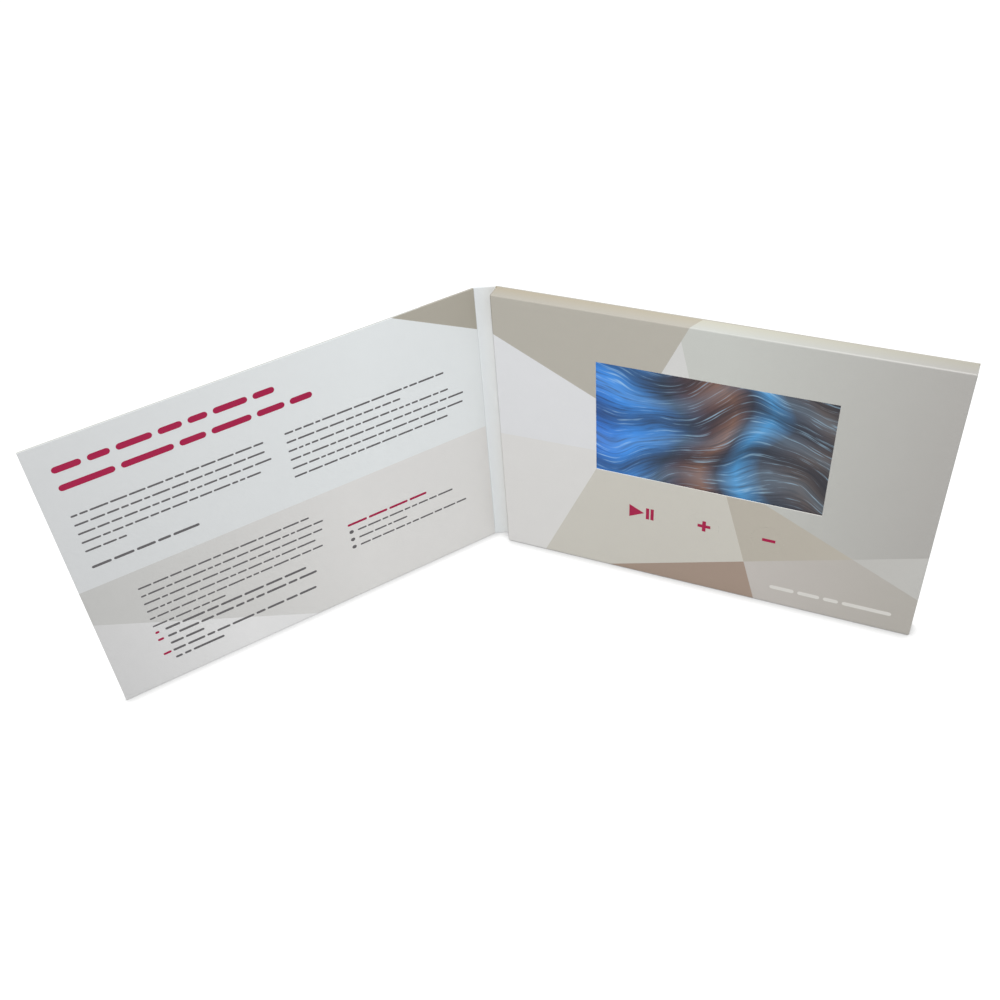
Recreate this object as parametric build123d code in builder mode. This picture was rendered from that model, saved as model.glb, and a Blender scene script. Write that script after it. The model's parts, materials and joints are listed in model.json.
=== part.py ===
from build123d import *
from math import cos, radians, sin
import os

# A video brochure of A5 panels on their side. A thin cover folds on a scored spine over a case that
# holds a five inch screen, three press keys, a battery, a speaker and the board that drives them.
# Frame: +Z up, +X from the spine to the case's free end, -Y out of the screen. The origin is the
# centre of the case's base, which the brochure stands on. Millimetres and degrees throughout.

# ---------------------------------------------------------------- panels and wrap
panel_width = 210.0
panel_height = 148.0
case_depth = 8.4
cover_setback = 1.6
spine_ease = 1.2
wrap_board = 0.7
liner_sheet = 0.3
crease_gap = 0.25
spine_angle = 27.0
cover_angle = 28.0

# ---------------------------------------------------------------- case tray
tray_card = 0.5
tray_setback = 0.4
tray_corner = 1.5
fold_radius = 1.0
corner_slit = 0.2
slit_reach = 4.0
flap_width = 7.0
flap_inset = 2.0
flap_mitre = 45.0

# ---------------------------------------------------------------- window and screen module
window_width = 109.5
window_height = 61.1
window_offset = 0.85
window_from_base = 61.5
bezel_side = 5.6
bezel_top = 5.2
bezel_base = 9.5
gasket_thick = 0.2
gasket_lap = 1.0
glass_thick = 1.1
backlight_thick = 1.5
glass_ledge = 3.5
pan_metal = 0.3
pan_corner = 0.8
pan_fit = 0.1
latch_width = 6.0
latch_height = 0.8
latch_inset = 25.35
ribbon_width = 16.5
ribbon_thick = 0.15
ribbon_bend = 1.0
ribbon_lap = 2.4
ribbon_drop = 1.4
ribbon_slope = 2.4

# ---------------------------------------------------------------- press keys
key_inset = 23.0
key_drop = 21.5
pad_radius = 7.75
pad_gap = 0.2
stem_radius = 1.5
stem_stand = 0.6
stem_depth = 0.8
stem_fit = 0.15
switch_side = 6.0
switch_height = 2.0
switch_corner = 0.5
switch_floor = 0.7
switch_leg = 0.9
key_board_margin = 4.85
key_board_height = 10.0

# ---------------------------------------------------------------- main board and its parts
board_thick = 0.8
board_tape = 1.1
board_tape_width = 8.0
board_corner = 1.0
board_edge_gap = 0.5
board_base = 5.0
board_key_gap = 2.5
board_screen_gap = 4.4
socket_width = 7.5
socket_height = 2.45
socket_length = 5.3
socket_wall = 0.3
socket_chamfer = 0.7
socket_recess = 0.2
socket_z = 26.0
socket_slot_gap = 0.5
tongue_width = 3.8
tongue_thick = 0.5
tongue_length = 3.6
processor_side = 12.0
processor_thick = 1.0
chip_inset = 14.0
leaded_width = 5.3
leaded_height = 5.3
leaded_thick = 1.8
leg_count = 4
leg_pitch = 1.27
leg_width = 0.4
leg_metal = 0.2
leg_reach = 1.1
leg_shoulder = 0.35
leg_heel = 0.55
crystal_width = 5.0
crystal_height = 3.2
crystal_thick = 1.2
crystal_corner = 0.8
crystal_edge = 0.3
sensor_width = 2.9
sensor_height = 1.3
sensor_thick = 1.1
chip_width = 1.6
chip_height = 0.8
chip_thick = 0.6
chip_pitch = 3.0
chip_columns = 8
chip_rows = 2
side_chips = 4
side_chip_gap = 0.4
coil_side = 4.0
coil_thick = 2.0
coil_corner = 0.8
ribbon_clamp_width = 20.5
ribbon_clamp_height = 4.5
ribbon_clamp_thick = 1.9
ribbon_slot = 0.4
plug_depth = 4.5
plug_thick = 2.6
plug_margin = 1.3
battery_plug_rise = 12.0

# ---------------------------------------------------------------- battery
battery_key_gap = 4.25
battery_width = 34.0
battery_thick = 4.0
battery_corner = 1.5
battery_edge = 1.2
battery_tape = 0.2
battery_tape_width = 18.0
battery_seal = 0.4
battery_seal_length = 3.2
guard_board_length = 26.0
guard_board_width = 3.0
guard_board_thick = 1.0

# ---------------------------------------------------------------- speaker
speaker_margin = 4.65
speaker_depth = 4.4
speaker_rim = 2.0
speaker_sheet = 0.4
rim_lip = 0.8
basket_inset = 7.5
basket_ports = 4
port_radius = 1.8
port_angle = 45.0
magnet_inset = 9.0
magnet_depth = 2.0
cone_sheet = 0.25
cone_neck = 4.5
cone_drop = 1.6
cone_dome = 0.9
sound_hole = 0.8
sound_ring = 3.2
ring_holes = 6

# ---------------------------------------------------------------- leads and the cover magnet
wire_radius = 0.45
wire_pitch = 1.2
wire_bend = 8.0
lead_run = 20.0
key_wire_radius = 0.35
key_wire_pitch = 1.1
key_wires = 4
lid_magnet_radius = 4.0
lid_magnet_thick = 0.4
lid_magnet_fit = 0.05

# ---------------------------------------------------------------- foam spacer
foam_inset = 0.5
foam_corner = 1.0
pocket_corner = 1.2
pocket_gap = 0.4
channel_width = 6.0

# ---------------------------------------------------------------- levels through the case
front_y = -case_depth / 2
back_y = case_depth / 2
wrap = wrap_board + liner_sheet
cover_width = panel_width - cover_setback
spine_width = case_depth + spine_ease
base_y = back_y - wrap
card_y = front_y + tray_card
screen_front = card_y + gasket_thick
glass_back = screen_front + glass_thick
backlight_back = glass_back + backlight_thick
screen_back = backlight_back + pan_metal
switch_front = card_y + stem_stand
key_board_front = switch_front + switch_height
key_board_back = key_board_front + board_thick
board_back = base_y - board_tape
board_front = board_back - board_thick
foam_back = base_y - tray_card
plug_y = board_front - plug_thick / 2
battery_back = base_y - battery_tape
battery_front = battery_back - battery_thick

# ---------------------------------------------------------------- places across the case
left_x = -panel_width / 2
right_x = panel_width / 2
tray_left = left_x + tray_setback
tray_width = right_x - tray_left
tray_mid = (tray_left + right_x) / 2
mid_z = panel_height / 2
window_x = window_offset
window_z = window_from_base + window_height / 2
screen_width = window_width + 2 * bezel_side
screen_height = window_height + bezel_top + bezel_base
cell_width = screen_width - 2 * (pan_metal + pan_fit)
cell_height = screen_height - 2 * (pan_metal + pan_fit)
latch_pitch = screen_width - 2 * latch_inset
screen_base = window_from_base - bezel_base
screen_z = screen_base + screen_height / 2
screen_right = window_x + screen_width / 2
key_z = window_from_base - key_drop
key_pitch = window_width / 2 - key_inset
key_places = {
    "play_pause": window_x - key_pitch,
    "volume_up": window_x,
    "volume_down": window_x + key_pitch,
}
key_points = [(x, key_z) for x in key_places.values()]
key_board_width = 2 * (key_pitch + key_board_margin)
key_board_right = window_x + key_board_width / 2
key_board_left = window_x - key_board_width / 2
key_board_base = key_z - key_board_height / 2
board_left = key_board_right + board_key_gap
board_right = right_x - tray_card - board_edge_gap
board_width = board_right - board_left
board_x = (board_left + board_right) / 2
chip_spread = board_width / 2 - chip_inset
board_top = screen_base - board_screen_gap
board_height = board_top - board_base
board_z = board_base + board_height / 2
ribbon_clamp_x = board_left + ribbon_clamp_width / 2 + board_corner
ribbon_clamp_z = board_top - ribbon_clamp_height / 2 - board_corner
battery_left = tray_left + flap_width + pocket_gap
battery_right = key_board_left - battery_key_gap - battery_seal_length
battery_length = battery_right - battery_left
battery_x = (battery_left + battery_right) / 2
battery_z = flap_width + pocket_gap + battery_width / 2
speaker_x = (screen_right + right_x - tray_card) / 2
speaker_z = window_z
speaker_radius = speaker_x - screen_right - speaker_margin
basket_radius = speaker_radius - basket_inset
magnet_radius = speaker_radius - magnet_inset
sensor_x = board_right - 2 * sensor_width - lid_magnet_radius
sensor_z = board_top - 2 * lid_magnet_radius
plug_x = board_left + board_corner + plug_depth / 2
battery_plug_z = board_base + battery_plug_rise
key_plug_z = key_board_base - key_wires * key_wire_pitch
speaker_plug_z = board_top - board_corner - plug_depth / 2


def facing(y):
    """The front view's plane at depth y: sketches read as the front, and extrude towards it."""
    return Plane.XZ.offset(-y)


def turned(origin, angle):
    """A wrap panel's plane: x runs away from its fold, z out of its outer face."""
    along = (-cos(radians(angle)), -sin(radians(angle)), 0)
    outward = (-sin(radians(angle)), cos(radians(angle)), 0)
    return Plane(origin=origin, x_dir=along, z_dir=outward)


# ================================================================ case tray
# One printed sheet: front, four walls with rounded folds, mitred slits at the corners, and glue flaps
# turned in onto the base liner along three walls.
with BuildPart() as case_tray:
    with BuildSketch(facing(base_y)):
        with Locations((tray_mid, mid_z)):
            RectangleRounded(tray_width, panel_height, tray_corner)
    extrude(amount=base_y - front_y)
    fillet(case_tray.faces().sort_by(Axis.Y)[0].edges(), fold_radius)
    offset(amount=-tray_card, openings=case_tray.faces().sort_by(Axis.Y)[-1])
    with BuildSketch(facing(base_y)):
        with Locations((tray_mid, 0)):
            Trapezoid(tray_width - 2 * flap_inset, flap_width, flap_mitre, align=(Align.CENTER, Align.MIN))
        with Locations(Location((tray_mid, panel_height), 180)):
            Trapezoid(tray_width - 2 * flap_inset, flap_width, flap_mitre, align=(Align.CENTER, Align.MIN))
        with Locations(Location((tray_left, mid_z), -90)):
            Trapezoid(panel_height - 2 * flap_inset, flap_width, flap_mitre, align=(Align.CENTER, Align.MIN))
    extrude(amount=tray_card)
    with BuildSketch(facing(card_y)):
        with Locations((window_x, window_z)):
            Rectangle(window_width, window_height)
        with Locations(*key_points):
            Circle(pad_radius + pad_gap)
    extrude(amount=tray_card, mode=Mode.SUBTRACT)
    with BuildSketch(facing(base_y)):
        with Locations(Location((tray_left, 0), flap_mitre), Location((right_x, panel_height), flap_mitre)):
            Rectangle(slit_reach, corner_slit)
        with Locations(Location((right_x, 0), -flap_mitre), Location((tray_left, panel_height), -flap_mitre)):
            Rectangle(slit_reach, corner_slit)
    extrude(amount=base_y - front_y - fold_radius, mode=Mode.SUBTRACT)
    with BuildSketch(Plane.YZ.offset(right_x - 2 * tray_card)):
        with Locations((board_front - socket_height / 2, socket_z)):
            RectangleRounded(
                socket_height + 2 * socket_slot_gap, socket_width + 2 * socket_slot_gap, socket_slot_gap
            )
    extrude(amount=2 * tray_card, mode=Mode.SUBTRACT)

# ================================================================ wrap behind the case
# The back board and the base liner are punched together over the speaker: a hole and two rings.
with BuildSketch() as sound_holes:
    Circle(sound_hole)
    with PolarLocations(sound_ring, ring_holes):
        Circle(sound_hole)
    with PolarLocations(2 * sound_ring, 2 * ring_holes):
        Circle(sound_hole)

with BuildPart() as back_board:
    with BuildSketch(facing(back_y)):
        with Locations((left_x + crease_gap, 0)):
            Rectangle(panel_width - crease_gap, panel_height, align=(Align.MIN, Align.MIN))
        with Locations((speaker_x, speaker_z)):
            add(sound_holes.sketch, mode=Mode.SUBTRACT)
    extrude(amount=wrap_board)

with BuildPart() as base_liner:
    with BuildSketch(facing(back_y - wrap_board)):
        with Locations((left_x + crease_gap, 0)):
            Rectangle(panel_width - crease_gap, panel_height, align=(Align.MIN, Align.MIN))
        with Locations((speaker_x, speaker_z)):
            add(sound_holes.sketch, mode=Mode.SUBTRACT)
    extrude(amount=liner_sheet)

# ================================================================ spine and cover
# Each fold line runs up the inner face of the wrap. The cover's board is pocketed for its magnet.
fold_line = Vector(left_x, base_y, 0)
spine_plane = turned(fold_line, spine_angle)
cover_plane = turned(fold_line + spine_plane.x_dir * spine_width, spine_angle + cover_angle)
lid_magnet_place = (sensor_x - left_x, sensor_z)

with BuildPart() as spine_liner:
    with BuildSketch(spine_plane):
        with Locations((crease_gap, 0)):
            Rectangle(spine_width - 2 * crease_gap, panel_height, align=(Align.MIN, Align.MIN))
    extrude(amount=liner_sheet)

with BuildPart() as spine_board:
    with BuildSketch(spine_plane.offset(liner_sheet)):
        with Locations((crease_gap, 0)):
            Rectangle(spine_width - 2 * crease_gap, panel_height, align=(Align.MIN, Align.MIN))
    extrude(amount=wrap_board)

with BuildPart() as cover_liner:
    with BuildSketch(cover_plane):
        with Locations((crease_gap, 0)):
            Rectangle(cover_width - crease_gap, panel_height, align=(Align.MIN, Align.MIN))
    extrude(amount=liner_sheet)

with BuildPart() as cover_board:
    with BuildSketch(cover_plane.offset(liner_sheet)):
        with Locations((crease_gap, 0)):
            Rectangle(cover_width - crease_gap, panel_height, align=(Align.MIN, Align.MIN))
    extrude(amount=wrap_board)
    with BuildSketch(cover_plane.offset(liner_sheet)):
        with Locations(lid_magnet_place):
            Circle(lid_magnet_radius + lid_magnet_fit)
    extrude(amount=lid_magnet_thick + lid_magnet_fit, mode=Mode.SUBTRACT)

with BuildPart() as cover_magnet:
    with BuildSketch(cover_plane.offset(liner_sheet)):
        with Locations(lid_magnet_place):
            Circle(lid_magnet_radius)
    extrude(amount=lid_magnet_thick)

# ================================================================ screen module
# A folded metal pan holds the backlight and the glass cell. The glass runs past the backlight at its
# base, and the ribbon is bonded to the back of that ledge.
ribbon_y = glass_back + ribbon_thick / 2
clamp_y = board_front - ribbon_clamp_thick / 2

with BuildPart() as window_gasket:
    with BuildSketch(facing(screen_front)):
        with Locations((window_x, screen_z)):
            RectangleRounded(screen_width - 2 * gasket_lap, screen_height - 2 * gasket_lap, gasket_lap)
        with Locations((window_x, window_z)):
            Rectangle(window_width + 2 * gasket_lap, window_height + 2 * gasket_lap, mode=Mode.SUBTRACT)
    extrude(amount=gasket_thick)

with BuildPart() as screen_pan:
    with BuildSketch(facing(screen_back)):
        with Locations((window_x, screen_z)):
            RectangleRounded(screen_width, screen_height, pan_corner)
    extrude(amount=screen_back - screen_front)
    offset(amount=-pan_metal, openings=screen_pan.faces().sort_by(Axis.Y)[0])
    with BuildSketch(Plane.XY.offset(screen_base)):
        with Locations((ribbon_clamp_x, screen_front)):
            Rectangle(ribbon_width + 2 * pocket_gap, 2 * (backlight_back - screen_front))
    extrude(amount=pan_metal, mode=Mode.SUBTRACT)
    with BuildSketch(Plane.XY.offset(screen_base - pan_metal)):
        with Locations((window_x, glass_back + backlight_thick / 2)):
            with GridLocations(latch_pitch, 0, 2, 1):
                Rectangle(latch_width, latch_height)
    extrude(amount=screen_height + 2 * pan_metal, mode=Mode.SUBTRACT)

with BuildPart() as screen_backlight:
    with BuildSketch(facing(backlight_back)):
        with Locations((window_x, screen_z + glass_ledge / 2)):
            Rectangle(cell_width, cell_height - glass_ledge)
    extrude(amount=backlight_thick)

with BuildPart() as screen_glass:
    with BuildSketch(facing(glass_back)):
        with Locations((window_x, screen_z)):
            Rectangle(cell_width, cell_height)
    extrude(amount=glass_thick)

with BuildPart() as screen_ribbon:
    with BuildSketch(Plane.YZ.offset(ribbon_clamp_x)):
        with BuildLine():
            FilletPolyline(
                (ribbon_y, screen_base + ribbon_lap),
                (ribbon_y, screen_base - ribbon_drop),
                (clamp_y, screen_base - ribbon_drop - ribbon_slope),
                (clamp_y, ribbon_clamp_z),
                radius=ribbon_bend,
            )
        trace(line_width=ribbon_thick)
    extrude(amount=ribbon_width / 2, both=True)

# ================================================================ press keys
# Each pad is the flexing round zone of the printed front. Its stem runs in the well of a tactile
# switch on the key board behind.
pads = {}
stems = {}
for key, key_x in key_places.items():
    with BuildPart() as pad:
        with BuildSketch(facing(card_y)):
            with Locations((key_x, key_z)):
                Circle(pad_radius)
        extrude(amount=tray_card)
    pads[f"{key}_pad"] = pad
    with BuildPart() as stem:
        with BuildSketch(facing(switch_front + stem_depth)):
            with Locations((key_x, key_z)):
                Circle(stem_radius)
        extrude(amount=stem_stand + stem_depth)
    stems[f"{key}_stem"] = stem

with BuildPart() as key_switches:
    with BuildSketch(facing(key_board_front)):
        with Locations(*key_points):
            RectangleRounded(switch_side, switch_side, switch_corner)
    extrude(amount=switch_height)
    with BuildSketch(facing(key_board_front)):
        with Locations(*key_points):
            with GridLocations(switch_side, switch_side - switch_leg - 2 * switch_corner, 2, 2):
                Rectangle(2 * switch_leg, switch_leg)
    extrude(amount=leg_metal)
    with BuildSketch(facing(key_board_front - switch_floor)):
        with Locations(*key_points):
            Circle(stem_radius + stem_fit)
    extrude(amount=switch_height - switch_floor, mode=Mode.SUBTRACT)

with BuildPart() as key_board:
    with BuildSketch(facing(key_board_back)):
        with Locations((window_x, key_z)):
            RectangleRounded(key_board_width, key_board_height, board_corner)
    extrude(amount=board_thick)

# ================================================================ main board
with BuildPart() as main_board:
    with BuildSketch(facing(board_back)):
        with Locations((board_x, board_z)):
            RectangleRounded(board_width, board_height, board_corner)
    extrude(amount=board_thick)

with BuildPart() as board_pads:
    with BuildSketch(facing(base_y)):
        with Locations((board_x, board_z)):
            with GridLocations(0, board_height - 3 * board_tape_width, 1, 2):
                Rectangle(board_width - 2 * board_tape_width, board_tape_width)
    extrude(amount=board_tape)

with BuildPart() as charging_socket:
    with BuildSketch(Plane.YZ.offset(right_x - socket_recess - socket_length)) as socket_outline:
        with Locations((board_front - socket_height / 2, socket_z)):
            Rectangle(socket_height, socket_width)
        chamfer(socket_outline.vertices().group_by(Axis.X)[0], socket_chamfer)
    extrude(amount=socket_length)
    offset(amount=-socket_wall, openings=charging_socket.faces().sort_by(Axis.X)[-1])

with BuildPart() as socket_tongue:
    with BuildSketch(Plane.YZ.offset(right_x - socket_recess - socket_length + socket_wall)):
        with Locations((board_front - socket_height / 2, socket_z)):
            Rectangle(tongue_thick, tongue_width)
    extrude(amount=tongue_length)

with BuildPart() as processor:
    with BuildSketch(facing(board_front)):
        with Locations((board_x, board_z)):
            Rectangle(processor_side, processor_side)
    extrude(amount=processor_thick)
    chamfer(processor.faces().sort_by(Axis.Y)[0].edges(), leg_metal)


def leaded_chip(x, z):
    """A moulded package on the main board, with a row of bent legs along each side."""
    with BuildPart() as chip:
        with BuildSketch(facing(board_front - leg_metal)):
            with Locations((x, z)):
                Rectangle(leaded_width, leaded_height)
        extrude(amount=leaded_thick - leg_metal)
        chamfer(chip.faces().sort_by(Axis.Y)[0].edges(), leg_metal)
        leg_rows = [z + (row - (leg_count - 1) / 2) * leg_pitch for row in range(leg_count)]
        with BuildSketch(*[Plane.XY.offset(row) for row in leg_rows]):
            with BuildLine():
                Polyline(
                    (x + leaded_width / 2 - leg_metal, board_front - leaded_thick / 2),
                    (x + leaded_width / 2 + leg_shoulder, board_front - leaded_thick / 2),
                    (x + leaded_width / 2 + leg_heel, board_front - leg_metal / 2),
                    (x + leaded_width / 2 + leg_reach, board_front - leg_metal / 2),
                )
            trace(line_width=leg_metal)
        extrude(amount=leg_width / 2, both=True)
        mirror(about=Plane.YZ.offset(x))
    return chip


memory_chip = leaded_chip(board_x - chip_spread, board_z)
sound_amplifier = leaded_chip(board_x + chip_spread, board_z + leaded_height)

with BuildPart() as crystal:
    with BuildSketch(facing(board_front)):
        with Locations((board_x, board_z + processor_side)):
            RectangleRounded(crystal_width, crystal_height, crystal_corner)
    extrude(amount=crystal_thick)
    fillet(crystal.faces().sort_by(Axis.Y)[0].edges(), crystal_edge)

with BuildPart() as lid_sensor:
    with BuildSketch(facing(board_front)):
        with Locations((sensor_x, sensor_z)):
            Rectangle(sensor_width, sensor_height)
    extrude(amount=sensor_thick)

with BuildPart() as small_components:
    with BuildSketch(facing(board_front)):
        with Locations((board_x, board_z - processor_side)):
            with GridLocations(chip_pitch, chip_pitch, chip_columns, chip_rows):
                Rectangle(chip_width, chip_height)
        with Locations((board_x + (processor_side + chip_width) / 2 + side_chip_gap, board_z)):
            with GridLocations(chip_pitch, chip_pitch, 1, side_chips):
                Rectangle(chip_width, chip_height)
    extrude(amount=chip_thick)
    with BuildSketch(facing(board_front)):
        with Locations((board_x + chip_spread, board_z - coil_side)):
            with GridLocations(0, 2 * coil_side, 1, 2):
                RectangleRounded(coil_side, coil_side, coil_corner)
    extrude(amount=coil_thick)

with BuildPart() as ribbon_clamp:
    with BuildSketch(facing(board_front)):
        with Locations((ribbon_clamp_x, ribbon_clamp_z)):
            Rectangle(ribbon_clamp_width, ribbon_clamp_height)
    extrude(amount=ribbon_clamp_thick)
    with BuildSketch(Plane.XY.offset(ribbon_clamp_z)):
        with Locations((ribbon_clamp_x, clamp_y)):
            Rectangle(ribbon_width + ribbon_slot, ribbon_slot)
    extrude(amount=ribbon_clamp_height / 2, mode=Mode.SUBTRACT)

with BuildPart() as lead_plugs:
    with BuildSketch(facing(board_front)):
        with Locations((plug_x, battery_plug_z)):
            Rectangle(plug_depth, wire_pitch + 2 * plug_margin)
        with Locations((plug_x, key_plug_z)):
            Rectangle(plug_depth, (key_wires - 1) * key_wire_pitch + 2 * plug_margin)
        with Locations((speaker_x, speaker_plug_z)):
            Rectangle(wire_pitch + 2 * plug_margin, plug_depth)
    extrude(amount=plug_thick)

# ================================================================ battery
with BuildPart() as battery:
    with BuildSketch(facing(battery_back)):
        with Locations((battery_x, battery_z)):
            RectangleRounded(battery_length, battery_width, battery_corner)
    extrude(amount=battery_thick)
    fillet(battery.faces().group_by(Axis.Y)[0].edges(), battery_edge)
    fillet(battery.faces().group_by(Axis.Y)[-1].edges(), battery_edge)
    with BuildSketch(facing((battery_back + battery_front + battery_seal) / 2)):
        with Locations((battery_right - battery_corner, battery_z)):
            Rectangle(
                battery_corner + battery_seal_length,
                battery_width - 2 * battery_corner,
                align=(Align.MIN, Align.CENTER),
            )
    extrude(amount=battery_seal)

guard_back = (battery_back + battery_front - battery_seal) / 2
guard_right = battery_right + battery_seal_length
with BuildPart() as battery_guard_board:
    with BuildSketch(facing(guard_back)):
        with Locations((guard_right, battery_z)):
            Rectangle(guard_board_width, guard_board_length, align=(Align.MAX, Align.CENTER))
    extrude(amount=guard_board_thick)

with BuildPart() as battery_tape_strip:
    with BuildSketch(facing(base_y)):
        with Locations((battery_x, battery_z)):
            Rectangle(battery_length - 2 * battery_tape_width, battery_tape_width)
    extrude(amount=battery_tape)

# ================================================================ speaker
# A flat speaker that faces the back: its rim sits on the base liner behind the punched holes.
speaker_axis = Axis((speaker_x, 0, speaker_z), (0, 1, 0))
speaker_plane = Plane(origin=(speaker_x, base_y, speaker_z), x_dir=(1, 0, 0), z_dir=(0, 0, 1))
rim_inner = speaker_radius - speaker_rim
yoke_level = -speaker_depth + magnet_depth

with BuildPart() as speaker_frame:
    with BuildSketch(speaker_plane):
        with BuildLine():
            Polyline(
                (rim_inner, 0),
                (speaker_radius, 0),
                (speaker_radius, -speaker_sheet),
                (rim_inner + speaker_sheet, -speaker_sheet),
                (rim_inner + speaker_sheet, -rim_lip),
                (basket_radius + speaker_sheet, yoke_level - speaker_sheet),
                (magnet_radius - speaker_rim, yoke_level - speaker_sheet),
                (magnet_radius - speaker_rim, yoke_level),
                (basket_radius, yoke_level),
                (rim_inner, -rim_lip),
                close=True,
            )
        make_face()
    revolve(axis=speaker_axis)
    with BuildSketch(facing(base_y)):
        with Locations((speaker_x, speaker_z)):
            with PolarLocations((basket_radius + rim_inner) / 2, basket_ports, start_angle=port_angle):
                Circle(port_radius)
    extrude(amount=speaker_depth, mode=Mode.SUBTRACT)

with BuildPart() as speaker_cone:
    with BuildSketch(speaker_plane):
        with BuildLine():
            surround = ThreePointArc(
                (rim_inner - cone_sheet, -speaker_sheet),
                (rim_inner - speaker_rim / 2, -speaker_sheet / 2),
                (rim_inner - speaker_rim, -speaker_sheet),
            )
            slope = Line(surround @ 1, (cone_neck, -cone_drop))
            ThreePointArc(slope @ 1, (0, -cone_drop + cone_dome), (-cone_neck, -cone_drop))
        trace(line_width=cone_sheet)
        split(bisect_by=Plane.YZ)
    revolve(axis=speaker_axis)

with BuildPart() as speaker_magnet:
    with BuildSketch(speaker_plane):
        with Locations((0, -speaker_depth)):
            Rectangle(magnet_radius, magnet_depth - speaker_sheet, align=(Align.MIN, Align.MIN))
    revolve(axis=speaker_axis)

# ================================================================ leads
# Pairs run side by side in the foam's channels, from solder pad to plug.
battery_route = [
    (guard_right, battery_z),
    (guard_right + wire_bend, battery_z),
    (guard_right + lead_run, battery_plug_z),
    (plug_x - plug_depth / 2, battery_plug_z),
]
speaker_route = [
    (speaker_x - wire_bend / 2, speaker_z - speaker_radius),
    (speaker_x - wire_bend / 2, speaker_z - speaker_radius - wire_bend),
    (speaker_x, speaker_z - speaker_radius - 2 * wire_bend),
    (speaker_x, speaker_plug_z + plug_depth / 2),
]

with BuildPart() as battery_leads:
    for side in (-0.5, 0.5):
        with BuildLine(facing(plug_y)) as wire_path:
            FilletPolyline(*[(x, z + side * wire_pitch) for x, z in battery_route], radius=wire_bend)
        with BuildSketch(Plane(origin=wire_path.line @ 0, z_dir=wire_path.line % 0)):
            Circle(wire_radius)
        sweep(path=wire_path.line)

with BuildPart() as speaker_leads:
    for side in (-0.5, 0.5):
        with BuildLine(facing(plug_y)) as wire_path:
            FilletPolyline(*[(x + side * wire_pitch, z) for x, z in speaker_route], radius=wire_bend)
        with BuildSketch(Plane(origin=wire_path.line @ 0, z_dir=wire_path.line % 0)):
            Circle(wire_radius)
        sweep(path=wire_path.line)

with BuildPart() as key_leads:
    for row in range(key_wires):
        wire_z = key_plug_z + (row - (key_wires - 1) / 2) * key_wire_pitch
        wire_x = key_board_right - switch_side - (key_wires - row) * key_wire_pitch
        with BuildLine(facing((key_board_front + key_board_back) / 2)) as wire_path:
            FilletPolyline(
                (wire_x, key_board_base),
                (wire_x, wire_z),
                (plug_x - plug_depth / 2, wire_z),
                radius=(key_board_base - wire_z) / 2,
            )
        with BuildSketch(Plane(origin=wire_path.line @ 0, z_dir=wire_path.line % 0)):
            Circle(key_wire_radius)
        sweep(path=wire_path.line)

# ================================================================ foam spacer
# The spacer fills the case. Pockets from the front seat the screen and the key board, pockets from
# the back take the battery, the main board and the speaker, and channels join them.
foam_left = tray_left + tray_card + foam_inset
foam_right = right_x - tray_card - foam_inset
foam_base = tray_card + foam_inset
component_front = board_front - plug_thick - pocket_gap

with BuildPart() as foam_spacer:
    with BuildSketch(facing(foam_back)):
        with Locations(((foam_left + foam_right) / 2, mid_z)):
            RectangleRounded(foam_right - foam_left, panel_height - 2 * foam_base, foam_corner)
    extrude(amount=foam_back - card_y)
    with BuildSketch(facing(screen_back)):
        with Locations((window_x, screen_z)):
            RectangleRounded(screen_width + 2 * pocket_gap, screen_height + 2 * pocket_gap, pocket_corner)
    extrude(amount=screen_back - card_y, mode=Mode.SUBTRACT)
    with BuildSketch(facing(key_board_back)):
        with Locations((window_x, key_z)):
            RectangleRounded(
                key_board_width + 2 * pocket_gap, key_board_height + 2 * pocket_gap, pocket_corner
            )
        with Locations(*key_points):
            Circle(pad_radius + pad_gap)
    extrude(amount=key_board_back - card_y, mode=Mode.SUBTRACT)
    with BuildSketch(facing(foam_back)):
        with Locations((battery_x + battery_seal_length / 2, battery_z)):
            RectangleRounded(
                battery_length + battery_seal_length + 2 * pocket_gap,
                battery_width + 2 * pocket_gap,
                pocket_corner,
            )
    extrude(amount=foam_back - battery_front + pocket_gap, mode=Mode.SUBTRACT)
    with BuildSketch(facing(foam_back)):
        with Locations((board_left - pocket_gap, board_base - pocket_gap)):
            Rectangle(
                foam_right - board_left + 2 * pocket_gap,
                board_height + 2 * pocket_gap,
                align=(Align.MIN, Align.MIN),
            )
    extrude(amount=foam_back - component_front, mode=Mode.SUBTRACT)
    with BuildSketch(facing(foam_back)):
        with Locations((speaker_x, speaker_z)):
            Circle(speaker_radius + pocket_gap)
    extrude(amount=speaker_depth + pocket_gap, mode=Mode.SUBTRACT)
    with BuildSketch(facing(foam_back)):
        with Locations((guard_right, battery_z + channel_width / 2)):
            Rectangle(
                board_left - guard_right,
                battery_z - battery_plug_z + channel_width,
                align=(Align.MIN, Align.MAX),
            )
        with Locations((key_board_right - 2 * switch_side, key_board_base + pocket_gap)):
            Rectangle(
                board_left - key_board_right + 2 * switch_side,
                key_board_base - key_plug_z + channel_width / 2,
                align=(Align.MIN, Align.MAX),
            )
        with Locations((speaker_x - wire_bend / 4, board_top)):
            Rectangle(
                channel_width + wire_bend / 2,
                speaker_z - speaker_radius - board_top,
                align=(Align.CENTER, Align.MIN),
            )
    extrude(amount=foam_back - component_front, mode=Mode.SUBTRACT)
    with BuildSketch(facing(foam_back)):
        with Locations((ribbon_clamp_x, board_top)):
            Rectangle(
                ribbon_clamp_width,
                screen_base - board_top + pocket_gap,
                align=(Align.CENTER, Align.MIN),
            )
    extrude(amount=foam_back - ribbon_y + pocket_gap, mode=Mode.SUBTRACT)

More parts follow.
